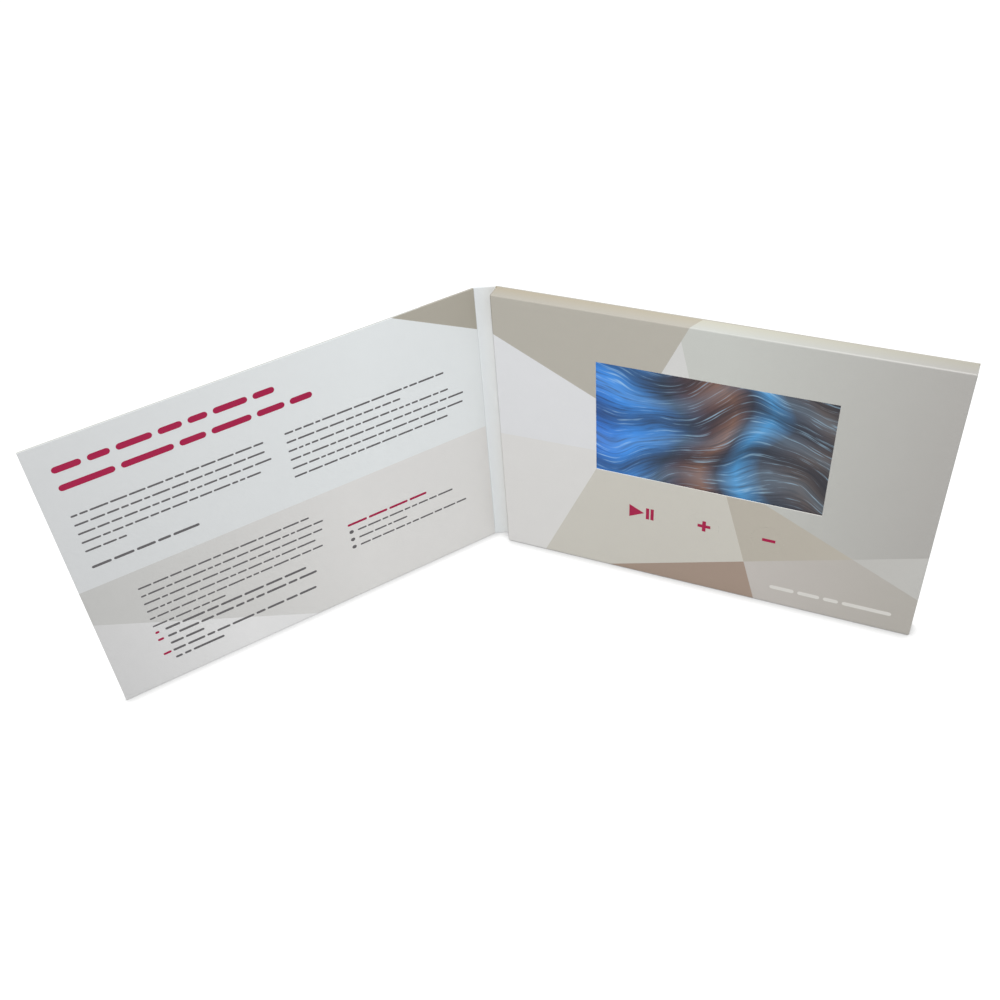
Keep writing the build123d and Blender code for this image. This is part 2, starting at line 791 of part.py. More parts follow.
# ================================================================ hand over
pieces = {
    "case_tray": case_tray,
    "back_board": back_board,
    "base_liner": base_liner,
    "spine_liner": spine_liner,
    "spine_board": spine_board,
    "cover_liner": cover_liner,
    "cover_board": cover_board,
    "cover_magnet": cover_magnet,
    "window_gasket": window_gasket,
    "screen_pan": screen_pan,
    "screen_backlight": screen_backlight,
    "screen_glass": screen_glass,
    "screen_ribbon": screen_ribbon,
    "key_switches": key_switches,
    "key_board": key_board,
    "main_board": main_board,
    "board_pads": board_pads,
    "charging_socket": charging_socket,
    "socket_tongue": socket_tongue,
    "processor": processor,
    "memory_chip": memory_chip,
    "sound_amplifier": sound_amplifier,
    "crystal": crystal,
    "lid_sensor": lid_sensor,
    "small_components": small_components,
    "ribbon_clamp": ribbon_clamp,
    "lead_plugs": lead_plugs,
    "battery": battery,
    "battery_guard_board": battery_guard_board,
    "battery_tape_strip": battery_tape_strip,
    "speaker_frame": speaker_frame,
    "speaker_cone": speaker_cone,
    "speaker_magnet": speaker_magnet,
    "battery_leads": battery_leads,
    "speaker_leads": speaker_leads,
    "key_leads": key_leads,
    "foam_spacer": foam_spacer,
    **pads,
    **stems,
}
os.makedirs("parts", exist_ok=True)
for name, piece in pieces.items():
    piece.part.label = name
    export_step(piece.part, f"parts/{name}.step")
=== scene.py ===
import json
from math import cos, radians, sin
from random import Random

import bmesh
import bpy
from mathutils import Matrix, Quaternion, Vector


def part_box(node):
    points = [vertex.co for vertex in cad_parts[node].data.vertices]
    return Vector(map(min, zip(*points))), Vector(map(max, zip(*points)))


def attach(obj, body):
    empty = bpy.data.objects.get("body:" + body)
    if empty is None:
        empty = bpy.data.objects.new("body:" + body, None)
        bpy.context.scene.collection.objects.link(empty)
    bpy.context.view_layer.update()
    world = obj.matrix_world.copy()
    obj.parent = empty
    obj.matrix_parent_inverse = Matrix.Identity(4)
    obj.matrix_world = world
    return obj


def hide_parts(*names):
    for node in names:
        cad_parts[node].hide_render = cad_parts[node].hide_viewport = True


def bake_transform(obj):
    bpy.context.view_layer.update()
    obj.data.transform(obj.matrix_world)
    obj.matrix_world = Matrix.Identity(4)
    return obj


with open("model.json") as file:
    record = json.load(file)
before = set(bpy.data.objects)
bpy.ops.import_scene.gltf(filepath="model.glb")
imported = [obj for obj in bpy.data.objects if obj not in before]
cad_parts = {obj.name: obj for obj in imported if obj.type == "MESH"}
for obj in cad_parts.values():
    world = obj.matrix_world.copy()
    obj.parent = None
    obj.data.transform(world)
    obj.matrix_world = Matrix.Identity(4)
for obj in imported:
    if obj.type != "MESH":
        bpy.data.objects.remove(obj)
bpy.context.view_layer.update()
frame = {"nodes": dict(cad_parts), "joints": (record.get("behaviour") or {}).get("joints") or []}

MM = 0.001

# ------------------------------------------------------------------ the brochure's places, from the frame
tray_low, tray_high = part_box("case_tray")
glass_low, glass_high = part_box("screen_glass")
socket_low, socket_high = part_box("charging_socket")
wrap_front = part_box("base_liner")[0].y
wrap_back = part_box("back_board")[1].y
joints = {joint["name"]: joint for joint in frame["joints"]}
spine_line = Vector(joints["spine_fold"]["pos_m"])
cover_line = Vector(joints["cover_fold"]["pos_m"])

sheet_up = Vector((0, 0, 1))
case_left = spine_line.x
front_y = tray_low.y
height = tray_high.z
wall_deep = tray_high.y - tray_low.y
wrap_thick = wrap_back - wrap_front
spine_run = (cover_line - spine_line).normalized()
cover_turn = radians(28)
cover_run = Matrix.Rotation(cover_turn, 3, "Z") @ spine_run
cover_out = sheet_up.cross(cover_run) * -1

# ------------------------------------------------------------------ camera
camera_place = Vector((0.0968, -0.4156, 0.4047))
camera_heading = 26.305
camera_fall = 43.36
camera_roll = -4.667
lens_mm = 40.663
lens_shift = (-0.0083, 0.0776)
nearest_seen = 10 * MM


def camera():
    """The photographer's place: in front of the case's free end, well above it."""
    lens = bpy.data.cameras.new("photo_camera")
    lens.lens = lens_mm
    lens.shift_x, lens.shift_y = lens_shift
    lens.clip_start = nearest_seen
    seat = bpy.data.objects.new("photo_camera", lens)
    seat.rotation_mode = "QUATERNION"
    turn = Quaternion((0, 0, 1), radians(camera_heading))
    tilt = Quaternion((1, 0, 0), radians(90 - camera_fall))
    roll = Quaternion((0, 0, 1), radians(camera_roll))
    seat.rotation_quaternion = turn @ tilt @ roll
    seat.location = camera_place
    bpy.context.scene.collection.objects.link(seat)
    bpy.context.scene.camera = seat


# ------------------------------------------------------------------ shader sums
def paint(red, green, blue):
    """A colour as a screen shows it, 0 to 255, turned into the linear light that a shader takes."""
    def linear(level):
        share = level / 255
        return share / 12.92 if share < 0.04045 else ((share + 0.055) / 1.055) ** 2.4
    return (linear(red), linear(green), linear(blue), 1.0)


class Ink:
    """A shader socket that adds up like a number: each sum adds the Math node that it needs."""

    def __init__(self, finish, socket):
        self.finish = finish
        self.socket = socket

    def sum(self, operation, *others):
        """The Math node of that operation, on this value and the others."""
        return self.finish.node("ShaderNodeMath", {"operation": operation}, self, *others)

    def other(self, name):
        """Another output of the same node."""
        outputs = self.socket.node.outputs
        return Ink(self.finish, next(out for out in outputs if out.name == name and out.enabled))

    def at_least(self, lowest):
        """Itself, and never under the lowest value."""
        return self.sum("MAXIMUM", lowest)

    def at_most(self, highest):
        """Itself, and never over the highest value."""
        return self.sum("MINIMUM", highest)

    def wave(self):
        """Its sine, from -1 to 1."""
        return self.sum("SINE")

    def __add__(self, other):
        return self.sum("ADD", other)

    def __sub__(self, other):
        return self.sum("SUBTRACT", other)

    def __rsub__(self, other):
        return self.finish.node("ShaderNodeMath", {"operation": "SUBTRACT"}, other, self)

    def __mul__(self, other):
        return self.sum("MULTIPLY", other)

    def __truediv__(self, other):
        return self.sum("DIVIDE", other)

    def __pow__(self, other):
        return self.sum("POWER", other)

    def __gt__(self, other):
        return self.sum("GREATER_THAN", other)

    __radd__ = __add__
    __rmul__ = __mul__


class Shader:
    """The node tree of a material or of the sky, with one method that adds any node."""

    def __init__(self, owner, output):
        owner.use_nodes = True
        self.tree = owner.node_tree
        self.tree.nodes.clear()
        self.output = self.tree.nodes.new(output)

    def node(self, kind, settings=None, *values, **named):
        """Adds a node. Its settings come first, then its sockets, in order or by name."""
        made = self.tree.nodes.new(kind)
        for setting, value in (settings or {}).items():
            if setting == "stops":
                self.ramp(made.color_ramp, value)
            else:
                setattr(made, setting, value)
        self.feed(made, dict(enumerate(values)) | named)
        return Ink(self, next((out for out in made.outputs if out.enabled), None))

    def feed(self, made, values):
        """Sets or links a node's sockets, named by their place or by their name in small letters."""
        for name, value in values.items():
            if isinstance(name, str):
                wanted = name.replace("_", " ")
                socket = next(s for s in made.inputs if s.name.lower() == wanted and s.enabled)
            else:
                socket = made.inputs[name]
            if isinstance(value, Ink):
                self.tree.links.new(value.socket, socket)
            else:
                socket.default_value = value

    @staticmethod
    def ramp(scale, stops):
        """Gives a colour ramp its stops, each a place and a colour."""
        while len(scale.elements) < len(stops):
            scale.elements.new(0.5)
        for element, (place, colour) in zip(scale.elements, stops):
            element.position = place
            element.color = colour

    def mix(self, share, under, over, blend="MIX"):
        """The colour under where share is 0, and over where it is 1."""
        return self.node(
            "ShaderNodeMix", {"data_type": "RGBA", "blend_type": blend}, factor=share, a=under, b=over
        )

    def plainly_seen(self):
        """1 for what the camera sees, straight or in metal and glass, and 0 for light that only bounces."""
        path = self.node("ShaderNodeLightPath")
        return path + path.other("Is Glossy Ray") + path.other("Is Transmission Ray")


class Finish(Shader):
    """A piece's material in the making, with short ways to its place, its grain and its relief."""

    def __init__(self, name):
        self.material = bpy.data.materials.new(name)
        super().__init__(self.material, "ShaderNodeOutputMaterial")
        self.surface = self.node("ShaderNodeBsdfPrincipled")
        self.feed(self.output, {"surface": self.surface})

    def place(self):
        """x, y and z of a point of the resting brochure, in millimetres."""
        spot = self.node("ShaderNodeTexCoord").other("Object")
        x = self.node("ShaderNodeSeparateXYZ", None, spot)
        return x / MM, x.other("Y") / MM, x.other("Z") / MM

    def facing(self):
        """x, y and z of the surface's own direction, which turns with its body."""
        normal = self.node("ShaderNodeTexCoord").other("Normal")
        x = self.node("ShaderNodeSeparateXYZ", None, normal)
        return x, x.other("Y"), x.other("Z")

    def stored(self, name):
        """A measure that the mesh itself keeps at each of its points, and that bends with it."""
        return self.node("ShaderNodeAttribute", {"attribute_name": name}).other("Fac")

    def noise(self, size, detail=2.0, roughness=0.5):
        """Soft noise whose spots are about size millimetres wide."""
        spot = self.node("ShaderNodeTexCoord").other("Object")
        return self.node(
            "ShaderNodeTexNoise", None, vector=spot, scale=1 / (size * MM), detail=detail, roughness=roughness
        )

    def bump(self, relief, depth):
        """Relief of that depth in millimetres where it is 1, and level where it is 0."""
        return self.node("ShaderNodeBump", None, strength=1.0, distance=depth * MM, height=relief)

    def shade(self, **sockets):
        """Feeds the surface shader, and hands over the finished material."""
        self.feed(self.surface.socket.node, sockets)
        return self.material


# ------------------------------------------------------------------ print colours
TAUPE = paint(174, 170, 160)
GLINT = paint(205, 205, 203)
LIGHT = paint(216, 217, 219)
PEARL = paint(214, 213, 211)
SAND = paint(197, 194, 185)
CLAY = paint(156, 137, 123)
STONE = paint(179, 173, 161)
ASH = paint(189, 184, 179)
# Painted shade: a darker copy of ash for the front's far end.
ASH_FAR_SHADED = paint(174, 170, 163)
SHELL = paint(187, 186, 182)
MIST = paint(191, 193, 188)
# Painted shade: a darker copy of mist for the front's far end.
MIST_FAR_SHADED = paint(170, 168, 164)
# Painted shade with a warm tint down the tray's walls: darker near the spine, and hardly any near the free
# end.
WALL_SHADE_NEAR_SPINE = paint(252, 244, 227)
WALL_SHADE_NEAR_END = paint(255, 253, 240)
# Painted shade on the fold beside the spine.
FOLD_SHADE = paint(232, 232, 231)
# Painted shade along the foot of each sheet.
FOOT_SHADE = paint(146, 145, 145)
WHITE = paint(225, 229, 230)
# Painted shade: the far tones of the cover's white, band and pale corner are darker copies for its free end.
WHITE_FAR_SHADED = paint(206, 208, 209)
BAND = paint(219, 218, 216)
BAND_FAR_SHADED = paint(189, 189, 187)
PALE = paint(226, 226, 226)
PALE_FAR_SHADED = paint(204, 204, 204)
TAUPE_COVER = paint(169, 164, 152)
# Painted light and shade on the spine: brighter beside the case, greyer beside the cover's crease.
SPINE_PAINTED_LIGHT = paint(229, 230, 229)
SPINE_SHADED = paint(217, 221, 223)
CLOUD = paint(120, 116, 110)
# The card's pale core, which is also the colour of the painted highlight along the upper fold.
PAPER_CORE_AND_HIGHLIGHT = paint(232, 231, 227)
PAPER_FIBRE = paint(214, 212, 206)
MAGENTA = paint(160, 10, 66)
TEXT_INK = paint(96, 94, 96)
WHITE_INK = paint(214, 212, 207)

# The front's facets are cut by a few straight lines that run on over its folds. Each line is two points in
# millimetres: across from the sheet's spine edge, and up from its lower edge.
LONG_FALL = ((-10, 133.1), (220, 18.7))
RISE_ABOVE = ((72.7, 102.7), (98.1, 157.5))
RISE_BELOW = ((17.9, -9), (56.5, 73))
DROP_ABOVE = ((99.9, 102.7), (90.4, 139.9))
DROP_BELOW = ((137, -9), (112.5, 73))
LOW_RISE = ((57, 0), (210, 50.4))
SHELF = ((-10, 71.2), (60, 73))

# The cover's sheet carries three of them on, in millimetres from its fold.
COVER_FALL = ((0, 126.8), (42.3, 148))
COVER_SHELF = ((0, 71.5), (208.4, 71.4))
COVER_LOW = ((106.3, 0), (208.4, 51.6))

# The outer wrap has three of its own, in millimetres of the frame's x and z.
OUTER_RISE = ((-105, 20), (105, 128))
OUTER_FALL = ((-60, 148), (30, 0))
OUTER_STEEP = ((-150, 0), (-130, 148))

# Where each painted shade or highlight starts and stops to change, in millimetres across its sheet.
MIST_SHADE_FADE = (110, 205)
ASH_SHADE_FADE = (130, 205)
WALL_SHADE_FADE = (20, 195)
WHITE_SHADE_FADE = (60, 208)
BAND_SHADE_FADE = (75, 208)
PALE_SHADE_FADE = (140, 208)
FOLD_HIGHLIGHT_FADE = (110, 160)

# The paper's tooth and waves, the film's gloss, the ink's clouds, the painted highlight on the upper fold and
# the painted shade along the foot. Sizes and depths are in millimetres, and the other values are shares or
# roughness.
tooth_size, tooth_deep = 0.35, 0.004
wave_size, wave_deep = 38.0, 0.09
film_patch, film_rough, film_uneven = 14.0, 0.41, 0.1
cloud_size = 9.0
cloudy, less_cloudy, ink_cloudy = 0.05, 0.03, 0.06
sheet_shine, ink_shine = 0.4, 0.2
fold_highlight = 0.18
foot_tall, foot_ragged, foot_spot = 1.1, 0.4, 4.0
case_foot_shade, sheet_foot_shade = 0.1, 0.24
fibre_size, fibre_deep = 0.15, 0.02
fibre_rough, fibre_uneven = 0.8, 0.1
across_name = "rest_across"


def above(line, across, up):
    """1 on the upper side of a cut line, and 0 on its lower side."""
    (ax, az), (bx, bz) = line
    slope = (bz - az) / (bx - ax)
    return up - across * slope > az - ax * slope


def between(along, start, stop):
    """0 at the start of a stretch and 1 at its stop, running on evenly past both."""
    return (along - start) / (stop - start)


def painted_fade(finish, near, far, along, start, stop):
    """Painted light and shade: a colour that changes evenly from one tone to another along the sheet, where
    the light falls off towards a far end or a neighbour shades it.
    """
    return finish.mix(between(along, start, stop), near, far)


def mottled(finish, colour, share=cloudy):
    """A printed flat colour with the faint cloudiness of ink on board."""
    clouds = finish.noise(cloud_size, detail=5.0, roughness=0.62)
    return finish.mix(clouds * share, colour, CLOUD)


def film_gloss(finish):
    """Roughness of the matt film, a little uneven."""
    return finish.noise(film_patch, detail=4.0) * film_uneven + film_rough


def under_film(finish, colour):
    """A printed sheet: its colour under a matt film, the fine tooth of the coated paper, and over that the
    slow waves of a glued sheet."""
    tooth = finish.noise(tooth_size, detail=3.0)
    waves = finish.noise(wave_size, detail=1.0)
    return finish.shade(
        base_color=colour, roughness=film_gloss(finish), specular_ior_level=sheet_shine,
        normal=finish.bump(tooth * tooth_deep + waves * wave_deep, 1.0),
    )


def shaded_foot(finish, colour, share=sheet_foot_shade):
    """The lowest millimetre, on which the brochure stands, painted a little grey: a painted shade where the
    sheet meets the floor.
    """
    _, _, up = finish.place()
    painted_light = (foot_tall - up - finish.noise(foot_spot) * foot_ragged).at_least(0) * share
    return finish.mix(painted_light, colour, FOOT_SHADE)


# ------------------------------------------------------------------ the printed sheets
def flat_sheet(finish):
    """Where a point of the tray lies on its flat sheet, as its walls are folded out of the front, and how
    deep it lies behind the front."""
    x, y, z = finish.place()
    nx, _, nz = finish.facing()
    depth = y - front_y / MM
    return x - case_left / MM + depth * nx, z + depth * nz, depth


def front_facets(finish, across, up):
    """The printed colour of the front at a place on its flat sheet, with painted shade that darkens two of
    its facets towards the free end.
    """
    low = 1 - above(LOW_RISE, across, up)
    # Painted shade towards the free end.
    mist = painted_fade(finish, MIST, MIST_FAR_SHADED, across, *MIST_SHADE_FADE)
    beside = finish.mix(low, mist, SHELL)
    glint = 1 - above(DROP_ABOVE, across, up)
    upper = finish.mix(above(RISE_ABOVE, across, up), finish.mix(glint, beside, GLINT), TAUPE)
    # Painted shade towards the free end here too.
    corner = finish.mix(low, STONE, painted_fade(finish, ASH, ASH_FAR_SHADED, across, *ASH_SHADE_FADE))
    middle = finish.mix(low, SAND, CLAY)
    inside = 1 - above(DROP_BELOW, across, up)
    edge = finish.mix(above(SHELF, across, up), PEARL, LIGHT)
    lower = finish.mix(above(RISE_BELOW, across, up), finish.mix(inside, corner, middle), edge)
    return finish.mix(above(LONG_FALL, across, up), lower, upper)


def on_fold(way):
    """1 on the middle of the fold between the front and the wall that faces that way, and 0 on both."""
    return (way * (1 - way) * 4).at_least(0)


def painted_fold_light(finish, colour, across):
    """Painted light on the folds: a painted highlight along the upper fold, growing towards the case's free
    end, and painted shade on the fold beside the spine.
    """
    freeward, _, skyward = finish.facing()
    toward_end = between(across, *FOLD_HIGHLIGHT_FADE).at_least(0).at_most(1)
    # A painted highlight along the upper fold, then painted shade on the fold beside the spine.
    painted_light = finish.mix(on_fold(skyward) * toward_end * fold_highlight, colour, PAPER_CORE_AND_HIGHLIGHT)
    return finish.mix(on_fold(freeward * -1), painted_light, FOLD_SHADE, "MULTIPLY")


def printed_front():
    """The tray's print. Its walls carry a painted shade with a warm tint, a little deeper the further they
    lie behind the front, and most of all near the spine. Its folds and its foot carry painted light and
    shade.
    """
    finish = Finish("printed_front")
    across, up, depth = flat_sheet(finish)
    print_colour = mottled(finish, front_facets(finish, across, up))
    # Painted shade: the walls are tinted darker and warmer the deeper they lie behind the front.
    wall_shade = painted_fade(finish, WALL_SHADE_NEAR_SPINE, WALL_SHADE_NEAR_END, across, *WALL_SHADE_FADE)
    wall_shaded = finish.mix(depth / (wall_deep / MM), print_colour, wall_shade, "MULTIPLY")
    # Painted highlight and painted shade on the folds.
    colour = painted_fold_light(finish, wall_shaded, across)
    # Painted shade along the foot.
    return under_film(finish, shaded_foot(finish, colour, case_foot_shade))


def cover_sheet(finish):
    """Where a point of the cover lies on its flat sheet: from the fold, and from the lower edge."""
    x, y, z = finish.place()
    along = (x - cover_line.x / MM) * cover_run.x + (y - cover_line.y / MM) * cover_run.y
    return along, z


def printed_cover():
    """The cover's inner sheet: white, with a taupe corner, a grey band and a pale corner. The white, the band
    and the pale corner are painted darker towards the free end, a painted shade, and its foot carries painted
    shade.
    """
    finish = Finish("printed_cover")
    along, up = cover_sheet(finish)
    # Painted shade towards the free end.
    white = painted_fade(finish, WHITE, WHITE_FAR_SHADED, along, *WHITE_SHADE_FADE)
    band = painted_fade(finish, BAND, BAND_FAR_SHADED, along, *BAND_SHADE_FADE)
    pale = painted_fade(finish, PALE, PALE_FAR_SHADED, along, *PALE_SHADE_FADE)
    lower = finish.mix(above(COVER_LOW, along, up), pale, band)
    colour = finish.mix(above(COVER_SHELF, along, up), lower, white)
    colour = finish.mix(above(COVER_FALL, along, up), colour, TAUPE_COVER)
    return under_film(finish, shaded_foot(finish, mottled(finish, colour, less_cloudy)))


def printed_outside(name, bends=False):
    """The outer wrap: broad facets of the same colours over both boards. On a sheet that bends, the place
    across comes from the sheet itself, so that the print bends with it."""
    finish = Finish(name)
    x, _, z = finish.place()
    if bends:
        x = finish.stored(across_name)
    lower = finish.mix(above(OUTER_FALL, x, z), LIGHT, SAND)
    upper = finish.mix(above(OUTER_STEEP, x, z), TAUPE, MIST)
    colour = finish.mix(above(OUTER_RISE, x, z), lower, upper)
    return under_film(finish, mottled(finish, colour))


def white_liner():
    """Plain coated white paper, on the spine, with painted light and shade: it is a little greyer beside the
    cover's crease, brighter beside the case where the case's wall shades it, and painted shade along its
    foot.
    """
    finish = Finish("white_liner")
    across = finish.stored(across_name)
    # Painted light and shade across the spine.
    white = painted_fade(finish, SPINE_SHADED, SPINE_PAINTED_LIGHT, across, cover_line.x / MM, spine_line.x / MM)
    return under_film(finish, shaded_foot(finish, mottled(finish, white, less_cloudy)))


def paper_core():
    """The pale felted core of the card, on its cut edges."""
    finish = Finish("paper_core")
    fibres = finish.noise(fibre_size, detail=5.0, roughness=0.7)
    return finish.shade(
        base_color=finish.mix(fibres, PAPER_CORE_AND_HIGHLIGHT, PAPER_FIBRE),
        roughness=fibres * fibre_uneven + fibre_rough, normal=finish.bump(fibres, fibre_deep),
    )


def printed_ink(name, colour):
    """Solid ink of the symbols and text marks, under the same film."""
    finish = Finish(name)
    return finish.shade(
        base_color=mottled(finish, colour, ink_cloudy), roughness=film_gloss(finish),
        specular_ior_level=ink_shine,
    )


# ------------------------------------------------------------------ the screen's picture
# The silk's tones, each at its share of the way across.
SILK = (
    (0.0, paint(34, 112, 206)),
    (0.14, paint(46, 134, 222)),
    (0.26, paint(50, 120, 190)),
    (0.36, paint(46, 74, 106)),
    (0.45, paint(80, 56, 58)),
    (0.53, paint(122, 86, 70)),
    (0.59, paint(52, 54, 72)),
    (0.67, paint(62, 142, 200)),
    (0.76, paint(62, 72, 88)),
    (0.9, paint(80, 70, 68)),
    (1.0, paint(62, 55, 55)),
)
SILK_SHADE = paint(10, 22, 40)
DARK_THREAD = paint(6, 16, 30)
BRIGHT_THREAD = paint(172, 212, 238)
SCREEN_BLACK = paint(12, 13, 15)

# How the silk hangs, over a picture that is 1 wide and 1 high: how fast each wave turns, and how high it is.
# Only the drift's spots are measured in millimetres.
swell_turns, swell_start, swell_high = 5.4, 0.7, 0.16
ripple_turns, ripple_lean, ripple_high = 12.0, 4.0, 0.05
drift_size, drift_high = 52.0, 0.35
sway_turns, sway_wide = 7.5, 0.06
fold_turns, fold_lean, fold_shade = 19.0, 3.0, 0.6
crest_light = 0.08
thread_across, thread_up = 5.0, 46.0
dark_below, dark_gain = 0.5, 3.4
bright_above, bright_gain = 0.57, 3.6
glass_rough, glass_shine = 0.12, 0.3


def screen_picture():
    """A lit picture of silk in a breeze. From left to right it is azure, copper, azure again and slate."""
    finish = Finish("screen_picture")
    x, _, z = finish.place()
    across = between(x, glass_low.x / MM, glass_high.x / MM)
    up = between(z, glass_low.z / MM, glass_high.z / MM)
    swell = (across * swell_turns + swell_start).wave() * swell_high
    ripple = (across * ripple_turns + up * ripple_lean).wave() * ripple_high
    drift = (finish.noise(drift_size) - 0.5) * drift_high
    fall = up + swell + ripple + drift
    sway = (fall * sway_turns).wave() * sway_wide
    tone = finish.node("ShaderNodeValToRGB", {"stops": SILK}, across + sway)
    folds = (fall * fold_turns + across * fold_lean).wave() * 0.5 + 0.5
    shadowed = finish.mix(folds ** 2 * fold_shade, tone, SILK_SHADE)
    weft = finish.node("ShaderNodeCombineXYZ", None, across * thread_across, fall * thread_up)
    threads = finish.node("ShaderNodeTexNoise", None, vector=weft, scale=1.0, detail=3.0, roughness=0.6)
    dark = (dark_below - threads).at_least(0) * dark_gain
    bright = (threads - bright_above).at_least(0) * bright_gain
    streaked = finish.mix(dark, shadowed, DARK_THREAD)
    lit = finish.mix((1 - folds) ** 4 * crest_light + bright, streaked, BRIGHT_THREAD)
    return finish.shade(
        base_color=SCREEN_BLACK, emission_color=lit, emission_strength=1.0, roughness=glass_rough,
        specular_ior_level=glass_shine,
    )


# ------------------------------------------------------------------ finishes of the carried pieces
# Each has two close tones, its grain in millimetres and its roughness, and then how much of a metal it is and
# how deep its relief is, where these aren't the plain ones.
PLAIN_FINISHES = {
    "adhesive_foam": ((30, 30, 32), (46, 46, 48), 0.4, 0.85),
    "folded_steel": ((166, 168, 170), (190, 191, 192), 2.0, 0.35, 0.9),
    "light_guide": ((226, 229, 232), (238, 240, 242), 6.0, 0.3),
    "amber_film": ((176, 110, 34), (200, 136, 52), 1.6, 0.3),
    "black_moulding": ((26, 26, 28), (38, 38, 40), 0.8, 0.5),
    "nickel_plate": ((186, 184, 178), (206, 204, 198), 1.2, 0.28, 0.95),
    "chip_ceramic": ((44, 44, 46), (58, 58, 60), 0.3, 0.6),
    "white_moulding": ((224, 221, 212), (236, 234, 228), 0.8, 0.5),
    "pouch_film": ((176, 178, 180), (200, 202, 204), 5.0, 0.32, 0.6, 0.1),
    "speaker_paper": ((34, 32, 30), (52, 49, 46), 0.5, 0.8, 0.0, 0.05),
    "lead_jacket": ((150, 26, 24), (176, 38, 32), 2.0, 0.45),
    "foam": ((222, 222, 218), (238, 238, 235), 0.6, 0.9, 0.0, 0.15),
}
uneven = 0.12

SOLDER_MASK = paint(18, 74, 46)
MASK_OVER_TRACE = paint(34, 102, 62)
BARE_PAD = paint(196, 160, 92)
trace_turns, trace_level, trace_deep = 2.6, 0.15, 0.02
wander_size, wander_wide = 6.0, 3.0
pad_spot, pad_level = 2.2, 0.72
mask_rough, pad_rougher, pad_metal = 0.35, 0.1, 0.8


def plain_finish(name, low, high, grain, rough, metal=0.0, relief=0.02):
    """A finish with two close tones, mixed by fine grain, and relief from the same grain."""
    finish = Finish(name)
    spots = finish.noise(grain, detail=4.0, roughness=0.6)
    return finish.shade(
        base_color=finish.mix(spots, paint(*low), paint(*high)),
        roughness=spots * uneven + (rough - uneven / 2),
        metallic=metal,
        normal=finish.bump(spots, relief),
    )


def circuit_board():
    """Green solder mask over copper: a close grid of traces, with bare pads between."""
    finish = Finish("circuit_board")
    x, _, z = finish.place()
    wander = finish.noise(wander_size) * wander_wide
    traces = ((x + wander) * trace_turns).wave() * ((z - wander) * trace_turns).wave()
    mask = finish.mix(traces > trace_level, SOLDER_MASK, MASK_OVER_TRACE)
    pads = finish.noise(pad_spot, detail=0.0) > pad_level
    return finish.shade(
        base_color=finish.mix(pads, mask, BARE_PAD), roughness=mask_rough + pads * pad_rougher,
        metallic=pads * pad_metal, normal=finish.bump(traces, trace_deep),
    )


def finishes():
    """A finish for each of the record's material slots."""
    made = {name: plain_finish(name, *look) for name, look in PLAIN_FINISHES.items()}
    made["printed_card"] = printed_front()
    made["wrap_board"] = printed_outside("printed_outside")
    made["liner_sheet"] = white_liner()
    made["screen_picture"] = screen_picture()
    made["circuit_board"] = circuit_board()
    return made


# ------------------------------------------------------------------ mesh helpers
round_steps = 96


def piece(name, bm, material, body=None):
    """Turns a bmesh into a named piece of the brochure with its finish."""
    mesh = bpy.data.meshes.new(name)
    bm.to_mesh(mesh)
    bm.free()
    made = bpy.data.objects.new(name, mesh)
    bpy.context.scene.collection.objects.link(made)
    made.data.materials.append(material)
    if body:
        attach(made, body)
    return made


def block(bm, middle, size, turn=None):
    """Adds a block round its middle."""
    bmesh.ops.create_cube(bm, size=1.0, matrix=Matrix.LocRotScale(middle, turn, size))


def disc(bm, middle, back_radius, front_radius, deep):
    """Adds a disc that faces out of the front."""
    bmesh.ops.create_cone(
        bm, cap_ends=True, segments=round_steps, radius1=back_radius, radius2=front_radius, depth=deep,
        matrix=Matrix.Translation(middle) @ Matrix.Rotation(radians(90), 4, "X"),
    )


def settle(made, *modifiers):
    """Works modifiers into a piece's mesh. Each is its kind and its settings."""
    for kind, settings in modifiers:
        modifier = made.modifiers.new(kind.lower(), kind)
        for setting, value in settings.items():
            setattr(modifier, setting, value)
    graph = bpy.context.evaluated_depsgraph_get()
    mesh = bpy.data.meshes.new_from_object(made.evaluated_get(graph))
    made.modifiers.clear()
    made.data = mesh


def soften(mesh, sharp):
    """Smooth shading, with edges left sharp above that many degrees."""
    mesh.shade_smooth()
    mesh.set_sharp_from_angle(angle=radians(sharp))


# ------------------------------------------------------------------ the tray
card_thick = 0.5 * MM
fold_round = 0.7 * MM
corner_round = 0.8 * MM
fold_steps = 6
window_wide = 109.5 * MM
window_high = 61.1 * MM
window_base = 61.5 * MM
socket_room = 0.5 * MM
slit_wide = 0.16 * MM
slit_long = 3.0 * MM
slit_stop = 0.1 * MM
slit_lean = 45
knife_deep = 4 * MM
rim_round = 0.07 * MM
rim_sharp = 60
key_names = ("play_pause", "volume_up", "volume_down")
key_room = 0.2 * MM
key_gap = 0.015 * MM
key_taper = 0.25 * MM
key_sharp = 35
flat_weight = 80
hair = 0.001 * MM


def key_places():
    """The centre of each key zone on the front, and the radius of the hole that it flexes in."""
    places = {}
    for key in key_names:
        low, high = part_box(f"{key}_pad")
        places[key] = (low + high) / 2
    hole = (high.x - low.x) / 2 + key_room
    return places, hole


